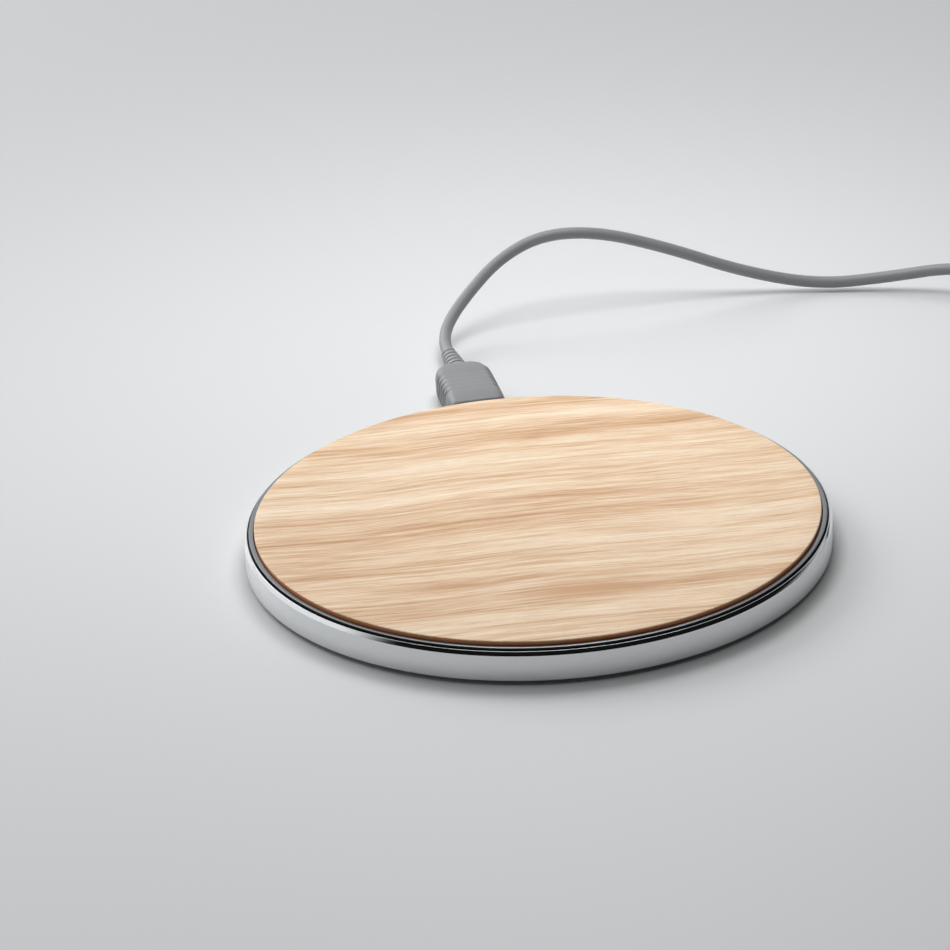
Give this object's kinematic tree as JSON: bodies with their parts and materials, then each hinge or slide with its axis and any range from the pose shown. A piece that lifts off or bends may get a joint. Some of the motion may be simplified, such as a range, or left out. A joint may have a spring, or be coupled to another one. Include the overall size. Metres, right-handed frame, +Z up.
{
  "type": "wireless charging pad",
  "caption": "Thin round wireless charging pad: bamboo top in a metal ring, plastic base on rubber feet, and a pull-out USB cord wound in a small coil.",
  "frame": {"origin": "centre of the pad on the surface it stands on, under the feet", "axes": "+Z up out of the wooden top, +Y the way the cord leaves the pad, +X to the right"},
  "size_m": [0.1856, 0.1543, 0.0173],
  "materials": {
    "ring_metal": "fine satin, with a polished bevel",
    "bamboo": "oiled matt, fine straight grain",
    "adhesive": "clear film",
    "inner_plastic": "moulded",
    "base_plastic": "fine moulded texture",
    "screw_steel": "plated",
    "silicone": "matt",
    "copper": "enamelled copper wire",
    "ferrite": "sintered, matt",
    "board": "solder mask",
    "chip_plastic": "moulded epoxy",
    "ceramic_part": "ceramic body",
    "resistor_part": "ceramic body",
    "lamp": "diffuse lens",
    "clear_plastic": "clear moulded rod",
    "connector_steel": "nickel plated",
    "contact_gold": "gold plated",
    "connector_plastic": "moulded",
    "grip_plastic": "soft moulded grip",
    "cord_jacket": "soft jacket",
    "tie_fabric": "hook-and-loop strap",
    "usb_insulator": "moulded"
  },
  "bodies": {
    "pad": {"housing_ring": "ring_metal", "wood_top": "bamboo", "wood_adhesive": "adhesive", "top_deck": "inner_plastic", "base_cover": "base_plastic", "base_screws": "screw_steel", "foot_1": "silicone", "foot_2": "silicone", "foot_3": "silicone", "foot_4": "silicone", "transmit_coil": "copper", "coil_adhesive": "adhesive", "ferrite_shield": "ferrite", "coil_leads": "copper", "main_board": "board", "controller_chip": "chip_plastic", "bridge_chips": "chip_plastic", "resonant_capacitors": "ceramic_part", "input_inductor": "ferrite", "input_capacitors": "ceramic_part", "chip_resistors": "resistor_part", "indicator_lamp": "lamp", "light_pipe": "clear_plastic", "socket_shell": "connector_steel", "socket_contacts": "contact_gold", "socket_tongue": "connector_plastic"},
    "cable": {"plug_shell": "connector_steel", "plug_contacts": "contact_gold", "plug_insulator": "connector_plastic", "plug_grip": "grip_plastic", "strain_relief": "cord_jacket", "cable": "cord_jacket", "cable_coil": "cord_jacket", "cable_tie": "tie_fabric", "cable_end": "cord_jacket", "usb_a_relief": "cord_jacket", "usb_a_grip": "grip_plastic", "usb_a_shell": "connector_steel", "usb_a_contacts": "contact_gold", "usb_a_insulator": "usb_insulator"}
  },
  "joints": [
    {"name": "plug_slide", "type": "slide", "parent": "pad", "child": "cable", "axis": [0, 1, 0], "range_m": [0, 0.01]}
  ]
}
